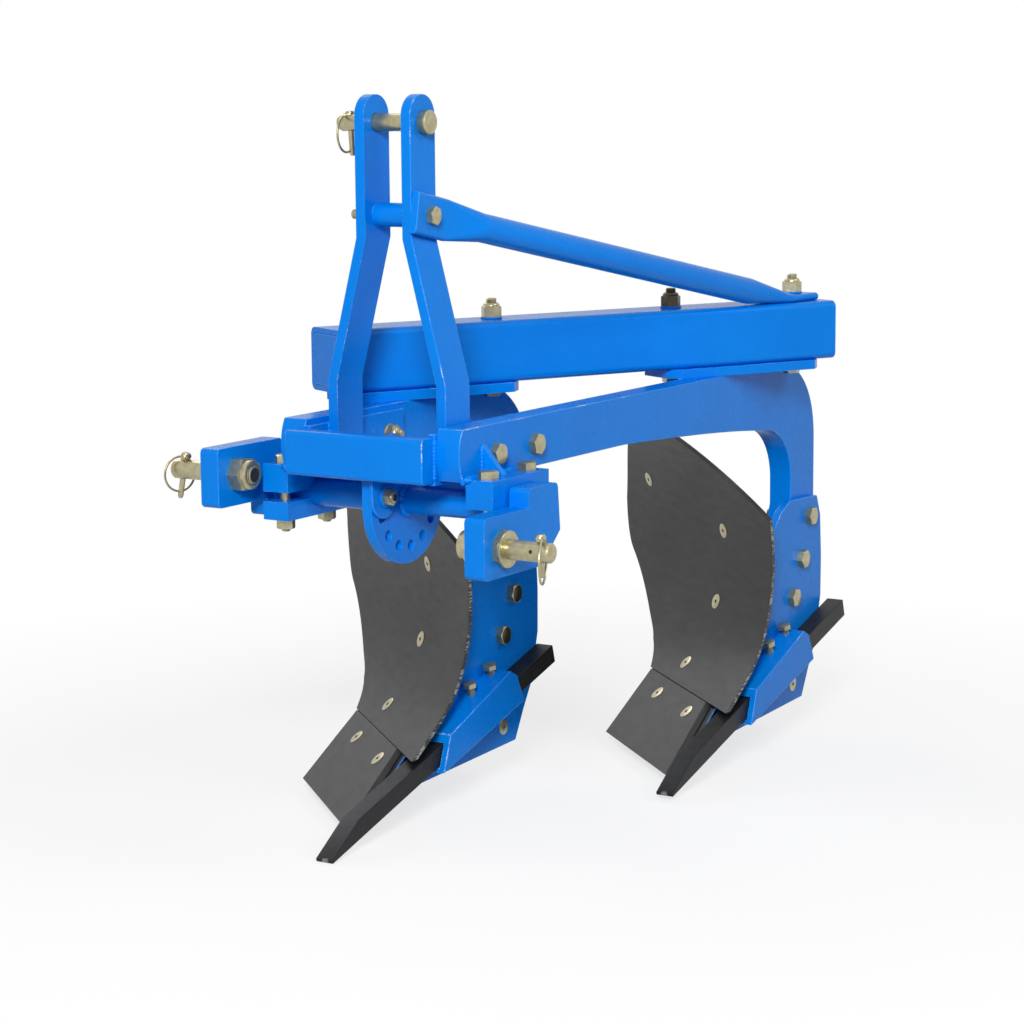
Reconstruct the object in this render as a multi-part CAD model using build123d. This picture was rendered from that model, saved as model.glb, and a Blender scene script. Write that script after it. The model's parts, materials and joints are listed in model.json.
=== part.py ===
"""Two-furrow mounted mouldboard plough, right-hand, with reversible bar points.

Millimetres.  X is the direction of travel, Y is the plough's left, Z is up.
While it is drawn it is level, as at work: x = 0 is the front of the mast,
y = 0 the middle of the headstock and z = 0 the foremost bar tip.  The last
section puts the origin on the ground, in the middle of the footprint.
"""
import os
from math import acos, cos, degrees, radians, sin, tan

from build123d import *

# ---------------------------------------------------------------- fits
seat_gap = 0.3          # between pieces that are bolted or rest on each other
sheet_gap = 0.5         # behind the share and the mouldboard's curved back
slide_gap = 0.6         # all round a bar point in its housing
shaft_gap = 0.3         # all round the cross shaft in its clamps

# ---------------------------------------------------------------- frame
beam_thick = 40.0
beam_top = 644.0        # height of the beams' top edge
beam_depth = 74.0       # top edge to bottom edge at the headstock
beam_depth_rear = 107.0 # the same, just before the leg
beam_front = 47.0       # foremost point of the beam's nose
nose_rise = 10.0        # how far the nose bulges forward
taper_front = 290.0     # length over which the front beam deepens before its leg
taper_rear = 480.0      # the same on the rear beam
body_spacing = 513.0    # fore-and-aft step from one body to the next
furrow_width = 264.0    # sideways step from one body to the next

leg_rear = -567.0       # rear edge of the front body's leg
leg_width = 90.0
leg_throat = 95.0       # radius between the beam's underside and the leg
shoulder_run = 107.0    # curve of the top rear corner: forward of the leg's rear edge
shoulder_drop = 140.0   # and down from the top edge
taper_sag = 0.4         # how full the curve of the tapered underside is
leg_foot = 215.0        # bottom end of the leg
leg_bend = 400.0        # height where the leg turns forward
leg_sweep = 66.0        # how far the foot is forward of the bend

pad_length = 300.0
pad_width = 100.0
pad_thick = 15.0
pad_corner = 18.0
pad_bolt_pitch = 242.0

tube_size = 95.0
tube_wall = 8.0
tube_round = 11.0
tube_front_overhang = 46.0   # tube end to its first bolt
tube_rear_overhang = 55.0    # last bolt to the tube's other end
tube_bolt_d = 21.0
cap_thick = 6.0
pad_centre_x = -295.0        # middle of the front pad

# ---------------------------------------------------------------- headstock
cross_height = 64.0
cross_depth = 30.0
cross_drop = 12.0        # beams' top edge to the crossmember's
cross_right = -121.5
cross_left = 110.5
cross_round = 6.0

side_plate_thick = 12.0
side_plate_length = 239.0
side_plate_height = 72.0
side_plate_proud = 4.0  # its top edge stands this far above the crossmember

mast_width = 63.0
mast_thick = 16.0
mast_top = 1100.0
mast_gap = 62.0         # between the two mast plates at the top pin
mast_drop = 57.0         # crossmember's top to the mast plates' feet
joggle_drop = 200.0     # mast top to where the plates start to spread
joggle_rise = 122.0      # mast foot to where the plates start to come in
top_pin_drop = 39.0     # mast top to the pin's axis
spacer_drop = 168.0     # mast top to the spacer's axis

top_pin_d = 25.4
top_pin_head_d = 34.0
top_pin_head = 14.0
top_pin_tail = 52.0     # free end, past the mast plate
spacer_d = 34.0
spacer_bore = 17.0

brace_d = 42.0
brace_flat = 12.0       # thickness of the flattened ends
brace_flat_width = 60.0
brace_tab = 34.0        # bolt to the end of each flat
brace_flat_run = 42.0   # bolt to where the front end starts to turn round
brace_neck = 75.0       # length over which the pipe is flattened
brace_bow = 4.0         # sideways shift from the front flat to the pipe
brace_rear_neck = 91.0  # the same as the neck, at the rear
brace_over = 2.5        # the pipe passes this far above the tube
brace_bolt_d = 17.0

# ---------------------------------------------------------------- cross shaft
shaft_d = 40.0
shaft_x = -43.0
shaft_drop = 44.0        # beams' underside to the shaft's axis
clamp_width = 44.0
clamp_length = 150.0
clamp_split = 14.0      # open gap between the clamp halves
clamp_bolt_pitch = 102.0
clamp_bolt_d = 17.0
clamp_lower = 27.0
gusset_thick = 10.0
gusset_height = 44.0
gusset_reach = 34.0     # out along the clamp, from the beam
gusset_place = 27.0     # forward of the shaft's axis
gusset_toe = 4.0        # height of its outer end
clamp_proud = 4.0       # the upper halves' top is this far above the beam's underside

crank_thick = 32.0
crank_inner = 208.0     # the shaft's middle to a crank's inner face
crank_arm = 86.0        # height of the arm that carries the pin
crank_head = 36.0       # the head stands this far past the shaft's axis
crank_head_front = 38.0
crank_head_rear = 46.0
crank_reach = 154.0     # shaft axis to the crank's front edge
crank_round = 8.0
crank_corner_x = 50.0   # cut across the rear corner of the arm
crank_corner_z = 44.0
pin_reach = 110.0       # shaft axis to pin axis, fore and aft
pin_offset = 36.0       # shaft axis to pin axis, up or down
shaft_shift = -8.0      # the shaft is clamped this far off the middle

link_pin_d = 28.0
link_pin_flange_d = 54.0
link_pin_flange = 10.0
link_pin_free = 70.0
link_nut_d = 46.0
link_nut = 22.0

sector_radius = 92.5
sector_thick = 15.5
sector_left = 5.5       # its left face, from the middle of the headstock
sector_top = 38.0       # shaft axis to the plate's top edge
sector_bolt_circle = 68.0
sector_hole_d = 16.0
sector_first = 11.0     # angle of the hole that the lock bolt is in
sector_step = 26.7
sector_holes = 7
lug_thick = 6.0
lug_round = 31.0
lock_washer_d = 26.0
lock_washer = 3.0
lock_nut_d = 25.0       # across the corners of its head and nut
lock_nut = 12.0
lock_end = 3.5          # thread past the nut

# ---------------------------------------------------------------- bodies
edge_height = 19.0      # cutting edge above the foremost bar tip
wing_x = -263.0         # outer end of the front body's cutting edge
wing_y = -354.0
edge_angle = 47.75      # cutting edge to the direction of travel
share_slope = 40.0
share_width = 138.0     # measured up the slope
share_edge = 308.0      # length of the cutting edge
share_joint = 207.0     # right end of the joint with the mouldboard
share_tail = 69.0       # the joint's left end runs this far past the wing
sheet_thick = 8.0       # share and mouldboard
mould_radius = 288.0
mould_twist = 6.5       # extra angle of the upper mouldboard
twist_from = 90.0       # heights above the edge between which it turns
twist_to = 180.0
mould_rise = 432.0      # from the share joint to above the top edge
mould_steps = 7
joint_gap = 1.0         # share to mouldboard
tail_step = 7.0         # the mouldboard's end overhangs the share's by this much
# the mouldboard's outline, each as (along the edge, above the edge)
tail_low = (-150.0, 124.0)
tail_under = (-262.0, 204.0)
tail_corner = (-340.0, 255.0)
tail_side = (-372.0, 300.0)
tail_upper = (-372.0, 345.0)
tail_crown = (-301.0, 443.0)
top_left = (-185.0, 492.0)
top_crown = (-110.0, 505.0)
top_right = (-40.0, 498.0)
shin_top = (196.0, 380.0)
beyond_shin = 340.0     # the blank runs this far, and the furrow-wall plane cuts it
shin_past = 330.0
twist_centre = 10.0     # the place along the edge about which it turns
sheet_ends = (-500.0, 600.0)   # the sheets' ends along the edge, before they are cut out
landside_y = -62.0      # the furrow-wall plane of the front body

cheek_thick = 14.0
cheek_setback = 3.0     # the cheek's front edge lies this far behind the saddle's face
cheek_nose = -200.0     # x of its front end
cheek_low = 52.0
cheek_high = 230.0
cheek_heel = ((-498.0, 63.0), (-524.0, 110.0), (-548.0, 148.0))
cheek_back = ((-570.0, 230.0), (-571.0, 300.0), (-566.0, 372.0))
cheek_head = ((-552.0, 407.0), (-446.0, 411.0), (-415.0, 396.0), (-340.0, 330.0))
saddle_thick = 12.0
saddle_low = 25.0       # its lower and upper ends, above the edge
saddle_high = 345.0
saddle_low_left = 10.0
saddle_shoulder = ((60.0, 345.0), (-25.0, 300.0), (-25.0, 130.0))

bar_side = 30.0
bar_length = 655.0
bar_slope = 16.1
bar_bevel = 80.0        # length of the chisel end
bar_tip = 5.0           # thickness left at the edge
bar_tip_x = 56.0
rear_bar_back = 32.0    # the rear bar is set this much further back

hood_side = 11.0
hood_top = 12.0
hood_rise = 15.0        # the top's rear end is this much thicker
hood_floor = 6.0
hood_rake = 20.0        # slope of its front and rear ends
hood_length = 235.0
hood_front = -222.0     # x of the hood's front, at the bar

stay_width = 40.0
stay_thick = 10.0
stay_foot = 60.0        # side of its foot on the leg, and of its seat on the tail
stay_along = -258.0     # place of the tail's bolt: along the edge, and above it
stay_height = 388.0
stay_foot_x = -490.0    # place of the leg's middle bolt, which holds its foot
stay_foot_z = 306.0
leg_bolt_d = 17.0

beyond = 700.0          # cutting blocks reach well past every piece
sheet_clear = 200.0     # and cuts along the sheets reach this far in front of them

# ---------------------------------------------------------------- derived
beam_inner = (furrow_width - beam_thick) / 2
beam_outer = beam_inner + beam_thick
beam_bottom = beam_top - beam_depth
cross_top = beam_top - cross_drop
mast_foot = cross_top - mast_drop
joggle_foot = mast_foot + joggle_rise
shaft_z = beam_bottom - shaft_drop
pad_top = beam_top + pad_thick
tube_base = pad_top
tube_top = tube_base + tube_size
body_step = Vector(-body_spacing, furrow_width, 0)
tube_dir = body_step.normalized()
tube_angle = degrees(acos(tube_dir.X))
mast_mid_x = -mast_width / 2
mast_outer = mast_gap / 2 + mast_thick
mast_foot_outer = beam_inner - side_plate_thick
joggle_top = mast_top - joggle_drop
top_pin_z = mast_top - top_pin_drop
spacer_z = mast_top - spacer_drop
leg_front = leg_rear + leg_width
lug_left = sector_left + seat_gap + lug_thick
lock_shank = sector_hole_d - 2 * seat_gap
cheek_y = -beam_inner + cheek_thick        # the cheek's outer face, front body
share_rise = share_width * sin(radians(share_slope))
share_run = share_width * cos(radians(share_slope))
bar_rise = tan(radians(bar_slope))

edge_dir = Vector(cos(radians(edge_angle)), sin(radians(edge_angle)), 0)
back_dir = Vector(-edge_dir.Y, edge_dir.X, 0)
wing = Vector(wing_x, wing_y, edge_height)

parts = {}


def slab(outline, y_from, y_to):
    """A plate: an outline in X and Z, from one y to another."""
    low, high = min(y_from, y_to), max(y_from, y_to)
    face = Plane(origin=(0, high, 0), x_dir=(1, 0, 0), z_dir=(0, -1, 0))
    return extrude(face * outline, high - low)


def rod_y(diameter, x, z, y_from, y_to):
    """A round bar along Y."""
    length = abs(y_to - y_from)
    middle = (y_from + y_to) / 2
    return Pos(x, middle, z) * Rot(90, 0, 0) * Cylinder(diameter / 2, length)


def rod_z(diameter, x, y, z_from, z_to):
    """A round bar along Z."""
    return Pos(x, y, (z_from + z_to) / 2) * Cylinder(diameter / 2, abs(z_to - z_from))


def block(x_from, x_to, y_from, y_to, z_from, z_to):
    size = (abs(x_to - x_from), abs(y_to - y_from), abs(z_to - z_from))
    return Pos((x_from + x_to) / 2, (y_from + y_to) / 2, (z_from + z_to) / 2) * Box(*size)


# ================================================================ beams
def beam(leg_shift, taper):
    """One flame-cut beam with its leg.

    leg_shift moves the leg rearward; taper is the length over which the
    beam deepens toward the leg.
    """
    rear = leg_rear - leg_shift
    front = leg_front - leg_shift
    nose = beam_front - nose_rise
    throat = front + leg_throat
    low_rear = beam_top - beam_depth_rear
    corner = leg_throat * (1 - cos(radians(45)))
    with BuildSketch() as outline:
        with BuildLine():
            Polyline((throat + taper, beam_bottom), (nose, beam_bottom))
            ThreePointArc(
                (nose, beam_bottom),
                (beam_front, (beam_top + beam_bottom) / 2),
                (nose, beam_top),
            )
            Line((nose, beam_top), (rear + shoulder_run, beam_top))
            Bezier(
                (rear + shoulder_run, beam_top),
                (rear + shoulder_run / 3, beam_top - shoulder_run / 5),
                (rear, beam_top - shoulder_drop / 2),
                (rear, beam_top - shoulder_drop),
            )
            Polyline(
                (rear, beam_top - shoulder_drop),
                (rear, leg_bend),
                (rear + leg_sweep, leg_foot),
                (front + leg_sweep, leg_foot),
                (front, leg_bend),
                (front, low_rear - leg_throat),
            )
            ThreePointArc(
                (front, low_rear - leg_throat),
                (front + corner, low_rear - corner),
                (throat, low_rear),
            )
            Bezier(
                (throat, low_rear),
                (throat + taper / 3, beam_bottom - (beam_bottom - low_rear) * taper_sag),
                (throat + taper, beam_bottom),
            )
        make_face()
    return outline.sketch


parts["beam_front"] = slab(beam(0, taper_front), -beam_outer, -beam_inner)
parts["beam_rear"] = slab(beam(body_spacing, taper_rear), beam_inner, beam_outer)

# ================================================================ pads and tube
front_pad_y = -(beam_inner + beam_thick / 2)
pad_centre = Vector(pad_centre_x, front_pad_y, 0)
along = Rot(0, 0, tube_angle)
for name, centre in (("front", pad_centre), ("rear", pad_centre + body_step)):
    plate = Box(pad_length, pad_width, pad_thick)
    plate = chamfer(plate.edges().filter_by(Axis.Z), pad_corner)
    for side in (-1, 1):
        plate -= Pos(side * pad_bolt_pitch / 2, 0, 0) * Cylinder(tube_bolt_d / 2, pad_thick)
    parts["pad_" + name] = Pos(centre.X, centre.Y, beam_top + pad_thick / 2) * along * plate

first_bolt = pad_centre - tube_dir * (pad_bolt_pitch / 2)
tube_start = first_bolt - tube_dir * tube_front_overhang
tube_bolts = [first_bolt, first_bolt + tube_dir * pad_bolt_pitch]
tube_bolts += [point + body_step for point in tube_bolts]
tube_end = tube_bolts[-1] + tube_dir * tube_rear_overhang
tube_length = (tube_end - tube_start).length
tube_plane = Plane(
    origin=(tube_start.X, tube_start.Y, tube_base + tube_size / 2),
    x_dir=(-tube_dir.Y, tube_dir.X, 0),
    z_dir=tube_dir,
)
outer = extrude(tube_plane * RectangleRounded(tube_size, tube_size, tube_round), tube_length)
bore_size = tube_size - 2 * tube_wall
bore_round = tube_round - tube_wall + 1
hollow = extrude(tube_plane * RectangleRounded(bore_size, bore_size, bore_round), tube_length)
tube = outer - hollow
for point in tube_bolts:
    tube -= rod_z(tube_bolt_d, point.X, point.Y, tube_base - 1, tube_top + 1)
parts["main_tube"] = tube
cap_size = bore_size - 2 * seat_gap
for name, start in (("front", 0), ("rear", tube_length - cap_thick)):
    cap = tube_plane.offset(start) * RectangleRounded(cap_size, cap_size, bore_round)
    parts["tube_cap_" + name] = extrude(cap, cap_thick)

# ================================================================ headstock
cross = block(
    beam_front, beam_front + cross_depth, cross_right, cross_left, cross_top - cross_height, cross_top
)
cross = fillet(cross.edges().filter_by(Axis.Y), cross_round)
parts["crossmember"] = Pos(seat_gap, 0, 0) * cross

for name, side in (("left", 1), ("right", -1)):
    plate = block(
        beam_front - side_plate_length,
        beam_front,
        side * beam_inner,
        side * (beam_inner - side_plate_thick),
        cross_top + side_plate_proud - side_plate_height,
        cross_top + side_plate_proud,
    )
    parts["side_plate_" + name] = plate
    with BuildSketch() as run:
        with BuildLine():
            top_in = mast_gap / 2
            foot_in = mast_foot_outer - mast_thick
            Polyline(
                (side * top_in, mast_top),
                (side * top_in, joggle_top),
                (side * foot_in, joggle_foot),
                (side * foot_in, mast_foot),
                (side * (foot_in + mast_thick), mast_foot),
                (side * (foot_in + mast_thick), joggle_foot),
                (side * (top_in + mast_thick), joggle_top),
                (side * (top_in + mast_thick), mast_top),
                close=True,
            )
        make_face()
    face = Plane(origin=(0, 0, 0), x_dir=(0, 1, 0), z_dir=(1, 0, 0))
    mast = extrude(face * run.sketch, -mast_width)
    trim = RectangleRounded(mast_width, mast_top - mast_foot, mast_width / 2 - 1)
    trim += Pos(0, -mast_width) * Rectangle(mast_width, mast_top - mast_foot - mast_width / 2)
    trim = Pos(mast_mid_x, (mast_top + mast_foot) / 2) * trim
    mast &= slab(trim, -beam_inner, beam_inner)
    mast -= rod_y(top_pin_d + 1, mast_mid_x, top_pin_z, -beam_inner, beam_inner)
    mast -= rod_y(brace_bolt_d, mast_mid_x, spacer_z, -beam_inner, beam_inner)
    parts["mast_" + name] = mast

pin = rod_y(top_pin_d, mast_mid_x, top_pin_z, -mast_outer - top_pin_tail, mast_outer + seat_gap)
pin += rod_y(
    top_pin_head_d, mast_mid_x, top_pin_z, mast_outer + seat_gap, mast_outer + seat_gap + top_pin_head
)
parts["top_link_pin"] = pin
spacer = rod_y(spacer_d, mast_mid_x, spacer_z, -mast_gap / 2 + seat_gap, mast_gap / 2 - seat_gap)
parts["mast_spacer"] = spacer - rod_y(spacer_bore, mast_mid_x, spacer_z, -mast_gap, mast_gap)

# ---------------------------------------------------------------- brace
brace_start = Vector(mast_mid_x, mast_outer + seat_gap + brace_flat / 2, spacer_z)
brace_end = Vector(tube_bolts[3].X, tube_bolts[3].Y, tube_top + seat_gap + brace_flat / 2)
reach = brace_end - brace_start
brace_dir = reach.normalized()
level_dir = Vector(reach.X, reach.Y, 0).normalized()
side_dir = Vector(-level_dir.Y, level_dir.X, 0)
flat_slope = brace_dir.Z / brace_dir.X


def pipe_section(point, normal, across, height, width, corner):
    plane = Plane(origin=point, x_dir=across, z_dir=normal)
    return plane * RectangleRounded(width, height, corner)


flat_dir = Vector(-1, 0, -flat_slope).normalized()
round_corner = brace_d / 2 - 0.2
flat_corner = brace_flat / 2 - 0.2
front_a = brace_start - flat_dir * brace_tab
front_b = brace_start + flat_dir * brace_flat_run
front_c = front_b + brace_dir * brace_neck + Vector(0, brace_bow, 0)
rear_d = brace_end - level_dir * (brace_rear_neck + brace_tab)
rear_d.Z = tube_top + brace_over + brace_d / 2
rear_e = brace_end - level_dir * brace_tab
rear_f = brace_end + level_dir * brace_tab
flat_front = loft(
    [
        pipe_section(front_a, flat_dir, (0, -1, 0), brace_flat_width, brace_flat, flat_corner),
        pipe_section(front_b, flat_dir, (0, -1, 0), brace_flat_width, brace_flat, flat_corner),
    ],
    ruled=True,
)
pipe_dir = (rear_d - front_c).normalized()
neck_front = loft(
    [
        pipe_section(front_b, flat_dir, (0, -1, 0), brace_flat_width, brace_flat, flat_corner),
        pipe_section(front_c, pipe_dir, -side_dir, brace_d, brace_d, round_corner),
    ],
    ruled=True,
)
pipe = loft(
    [
        pipe_section(front_c, pipe_dir, -side_dir, brace_d, brace_d, round_corner),
        pipe_section(rear_d, pipe_dir, -side_dir, brace_d, brace_d, round_corner),
    ],
    ruled=True,
)
neck_rear = loft(
    [
        pipe_section(rear_d, pipe_dir, -side_dir, brace_d, brace_d, round_corner),
        pipe_section(rear_e, level_dir, -side_dir, brace_flat, brace_flat_width, flat_corner),
    ],
    ruled=True,
)
flat_rear = loft(
    [
        pipe_section(rear_e, level_dir, -side_dir, brace_flat, brace_flat_width, flat_corner),
        pipe_section(rear_f, level_dir, -side_dir, brace_flat, brace_flat_width, flat_corner),
    ],
    ruled=True,
)
brace = flat_front + neck_front + pipe + neck_rear + flat_rear
brace -= rod_y(brace_bolt_d, mast_mid_x, spacer_z, mast_gap / 2, mast_outer + brace_d)
brace -= rod_z(tube_bolt_d, brace_end.X, brace_end.Y, tube_top, tube_top + brace_d)
parts["brace"] = brace

# ================================================================ cross shaft
clamp_front = shaft_x + clamp_length / 2
clamp_rear = shaft_x - clamp_length / 2
upper_top = beam_bottom + clamp_proud
web_middle = shaft_x + gusset_place
shaft_hole = rod_y(shaft_d + 2 * shaft_gap, shaft_x, shaft_z, -crank_inner, crank_inner)
for name, side in (("left", 1), ("right", -1)):
    inner = side * (beam_outer + seat_gap)
    outer_y = side * (beam_outer + seat_gap + clamp_width)
    upper = block(clamp_rear, clamp_front, inner, outer_y, shaft_z + clamp_split / 2, upper_top)
    with BuildSketch() as web:
        with BuildLine():
            Polyline(
                (inner, upper_top),
                (inner + side * gusset_reach, upper_top),
                (inner + side * gusset_reach, upper_top + gusset_toe),
                (inner, upper_top + gusset_height),
                close=True,
            )
        make_face()
    web_face = Plane(origin=(web_middle - gusset_thick / 2, 0, 0), x_dir=(0, 1, 0), z_dir=(1, 0, 0))
    upper += extrude(web_face * web.sketch, gusset_thick)
    lower_top = shaft_z - clamp_split / 2
    lower = block(clamp_rear, clamp_front, inner, outer_y, lower_top - clamp_lower, lower_top)
    bolt_y = side * (beam_outer + clamp_width / 2)
    for end in (-1, 1):
        bolt_x = shaft_x + end * clamp_bolt_pitch / 2
        hole = rod_z(clamp_bolt_d, bolt_x, bolt_y, lower_top - clamp_lower - 1, upper_top + 1)
        upper -= hole
        lower -= hole
    parts["clamp_upper_" + name] = upper - shaft_hole
    parts["clamp_lower_" + name] = lower - shaft_hole

shaft_half = crank_inner + crank_thick / 2
parts["cross_shaft"] = rod_y(shaft_d, shaft_x, shaft_z, shaft_shift - shaft_half, shaft_shift + shaft_half)

# a crank seen from its side, on the shaft's axis, with its arm downward
arm_middle = -(pin_offset - 3)
arm_top = arm_middle + crank_arm / 2
arm_foot = arm_middle - crank_arm / 2
with BuildSketch() as crank_outline:
    with BuildLine():
        Polyline(
            (-crank_head_rear + 6, crank_head),
            (crank_head_front, crank_head),
            (crank_head_front, arm_top),
            (crank_reach, arm_top),
            (crank_reach, arm_foot),
            (crank_corner_x - crank_head_rear, arm_foot),
            (-crank_head_rear, arm_foot + crank_corner_z),
            close=True,
        )
    make_face()
    fillet(crank_outline.vertices().group_by(Axis.X)[-1], crank_round)
    fillet(crank_outline.vertices().group_by(Axis.Y)[-1], crank_round)
    with Locations((pin_reach, -pin_offset)):
        Circle(link_pin_d / 2 + seat_gap, mode=Mode.SUBTRACT)
bore_depth = crank_thick / 2 + seat_gap
for name, side, sketch in (
    ("left", 1, crank_outline.sketch),
    ("right", -1, mirror(crank_outline.sketch, about=Plane.XZ)),
):
    inner = shaft_shift + side * crank_inner
    outer_y = inner + side * crank_thick
    crank = slab(Pos(shaft_x, shaft_z) * sketch, inner, outer_y)
    bore = rod_y(shaft_d + 2 * shaft_gap, shaft_x, shaft_z, inner - side, inner + side * bore_depth)
    parts["crank_" + name] = crank - bore
    pin_x = shaft_x + pin_reach
    pin_z = shaft_z - side * pin_offset
    nut_end = inner - side * (seat_gap + link_nut)
    flange_from = outer_y + side * seat_gap
    flange_to = flange_from + side * link_pin_flange
    pin = rod_y(link_pin_d, pin_x, pin_z, nut_end, flange_to + side * link_pin_free)
    pin += rod_y(link_pin_flange_d, pin_x, pin_z, flange_from, flange_to)
    nut_face = Plane(origin=(pin_x, inner - side * seat_gap, pin_z), x_dir=(1, 0, 0), z_dir=(0, -side, 0))
    parts["link_pin_" + name] = pin + extrude(nut_face * RegularPolygon(link_nut_d / 2, 6), link_nut)

# ---------------------------------------------------------------- sector lock
cross_under = cross_top - cross_height
with BuildSketch() as outline:
    with Locations((shaft_x, shaft_z)):
        Circle(sector_radius)
        Rectangle(2 * sector_radius, sector_top, align=(Align.CENTER, Align.MIN))
    with Locations((shaft_x, shaft_z + sector_top + sector_radius)):
        Rectangle(2 * sector_radius, 2 * sector_radius, mode=Mode.SUBTRACT)
    with Locations((shaft_x, shaft_z)):
        Circle(shaft_d / 2 + shaft_gap, mode=Mode.SUBTRACT)
        with PolarLocations(sector_bolt_circle, sector_holes, sector_first, -sector_step * sector_holes):
            Circle(sector_hole_d / 2, mode=Mode.SUBTRACT)
parts["sector_plate"] = slab(outline.sketch, sector_left - sector_thick, sector_left)

lock_x = shaft_x + sector_bolt_circle * cos(radians(sector_first))
lock_z = shaft_z + sector_bolt_circle * sin(radians(sector_first))
lug_front = lock_x + lug_round
lug_rear = lock_x - lug_round
lug_top = cross_top - cross_round
with BuildSketch() as outline:
    with BuildLine():
        Polyline(
            (lug_rear, lock_z),
            (lug_rear, lug_top),
            (beam_front, lug_top),
            (beam_front, cross_under),
            (lug_front, cross_under),
            (lug_front, lock_z),
        )
        ThreePointArc((lug_front, lock_z), (lock_x, lock_z - lug_round), (lug_rear, lock_z))
    make_face()
    with Locations((lock_x, lock_z)):
        Circle(sector_hole_d / 2, mode=Mode.SUBTRACT)
parts["lock_lug"] = slab(outline.sketch, lug_left - lug_thick, lug_left)

nut_face = lug_left + lock_washer
head_face = sector_left - sector_thick
lock = rod_y(lock_shank, lock_x, lock_z, head_face - lock_nut, nut_face + lock_nut + lock_end)
lock += rod_y(lock_washer_d, lock_x, lock_z, lug_left + seat_gap, nut_face)
for face_y, side in ((nut_face, 1), (head_face - seat_gap, -1)):
    hexagon = Plane(origin=(lock_x, face_y, lock_z), x_dir=(1, 0, 0), z_dir=(0, side, 0))
    lock += extrude(hexagon * RegularPolygon(lock_nut_d / 2, 6), lock_nut)
parts["lock_bolt"] = lock


# ================================================================ plough bodies
def slope_at(height):
    """Angle of the working face to the horizontal, at a height above the edge."""
    if height <= share_rise:
        return share_slope
    turned = cos(radians(share_slope)) - (height - share_rise) / mould_radius
    return degrees(acos(turned))


def run_at(height):
    """How far the working face lies behind the cutting edge, at a height above it."""
    if height <= share_rise:
        return height / tan(radians(share_slope))
    angle = radians(slope_at(height))
    return share_run + mould_radius * (sin(angle) - sin(radians(share_slope)))


def twist_at(height):
    """Extra run behind the edge for each millimetre along it."""
    share = (height - twist_from) / (twist_to - twist_from)
    return tan(radians(mould_twist * min(max(share, 0), 1)))


sheet_heights = [share_rise * step / 3 for step in range(-2, 3)]
sheet_heights += [share_rise + mould_rise * step / mould_steps for step in range(mould_steps + 1)]


def sheet(front, back):
    """A curved plate as wide as sheet_ends, between two depths behind the working face.
    """
    sections = []
    for height in sheet_heights:
        lean = sin(radians(slope_at(height)))
        level = Plane(origin=wing + Vector(0, 0, height), x_dir=edge_dir, z_dir=(0, 0, 1))
        corners = []
        for along_edge in sheet_ends:
            face = run_at(height) + twist_at(height) * (along_edge - twist_centre)
            corners.append(((along_edge, face + front / lean), (along_edge, face + back / lean)))
        loop = [corners[0][0], corners[1][0], corners[1][1], corners[0][1]]
        sections.append(level * make_face(Polyline(*loop, close=True)))
    return loft(sections)


outline_plane = Plane(origin=wing, x_dir=edge_dir, z_dir=(edge_dir.Y, -edge_dir.X, 0))


def window(outline):
    """Everything behind an outline drawn along the edge and upward."""
    return extrude(outline_plane * outline, beyond, both=True)


face_blank = sheet(0, sheet_thick)

with BuildSketch() as mould_outline:
    with BuildLine():
        joint = share_rise + joint_gap
        Polyline((beyond_shin, joint), (-share_tail - tail_step, joint), tail_low)
        ThreePointArc(tail_low, tail_under, tail_corner)
        ThreePointArc(tail_corner, tail_side, tail_upper)
        ThreePointArc(tail_upper, tail_crown, top_left)
        ThreePointArc(top_left, top_crown, top_right)
        Polyline(top_right, shin_top, (beyond_shin, shin_past), (beyond_shin, joint))
    make_face()
mould = face_blank & window(mould_outline.sketch)
beyond_wall = block(-beyond, beyond, landside_y, landside_y + beyond, 0, beyond)
mould -= beyond_wall

with BuildSketch() as share_outline:
    with BuildLine():
        Polyline((0, 0), (share_edge, 0), (share_joint, share_rise), (-share_tail, share_rise), close=True)
    make_face()
share = face_blank & window(share_outline.sketch)

# bar point: drawn level with its chisel tip at the origin, then set on its slope
with BuildSketch() as bar_outline:
    with BuildLine():
        Polyline(
            (0, 0),
            (-bar_length, 0),
            (-bar_length, bar_side),
            (-bar_bevel, bar_side),
            (0, bar_tip),
            close=True,
        )
    make_face()
bar_left = cheek_y + slide_gap + bar_side
bar = slab(bar_outline.sketch, cheek_y + slide_gap, bar_left)
bar = Pos(bar_tip_x, 0, 0) * Rot(0, bar_slope, 0) * bar
bar_back = Vector(-cos(radians(bar_slope)), 0, sin(radians(bar_slope)))


def bar_line(x, above):
    """Height of a line parallel to the bar, so far above its underside."""
    return (bar_tip_x - x) * bar_rise + above / cos(radians(bar_slope))


# frog: the cheek plate, and the saddle that the share and mouldboard bolt to
with BuildSketch() as cheek_outline:
    with BuildLine():
        Polyline(
            (cheek_nose, cheek_low),
            *cheek_heel,
            *cheek_back,
            *cheek_head,
            (cheek_nose, cheek_high),
            close=True,
        )
    make_face()
cheek = slab(cheek_outline.sketch, -beam_inner + seat_gap, cheek_y)
back_of_sheet = sheet_thick + sheet_gap
sheet_space = sheet(0, back_of_sheet + cheek_setback)
behind_sheets = (cheek - sheet_space).solids().sort_by(SortBy.VOLUME)[-1]
saddle_blank = sheet(back_of_sheet, back_of_sheet + saddle_thick)
with BuildSketch() as saddle_outline:
    with BuildLine():
        Polyline(
            (saddle_low_left, saddle_low),
            (beyond_shin, saddle_low),
            (beyond_shin, saddle_high),
            *saddle_shoulder,
            (saddle_low_left, share_rise),
            close=True,
        )
    make_face()
saddle = saddle_blank & window(saddle_outline.sketch)
saddle -= block(-beyond, beyond, cheek_y - cheek_thick / 2, beyond, -beyond, beyond)
frog = behind_sheets + saddle

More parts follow.
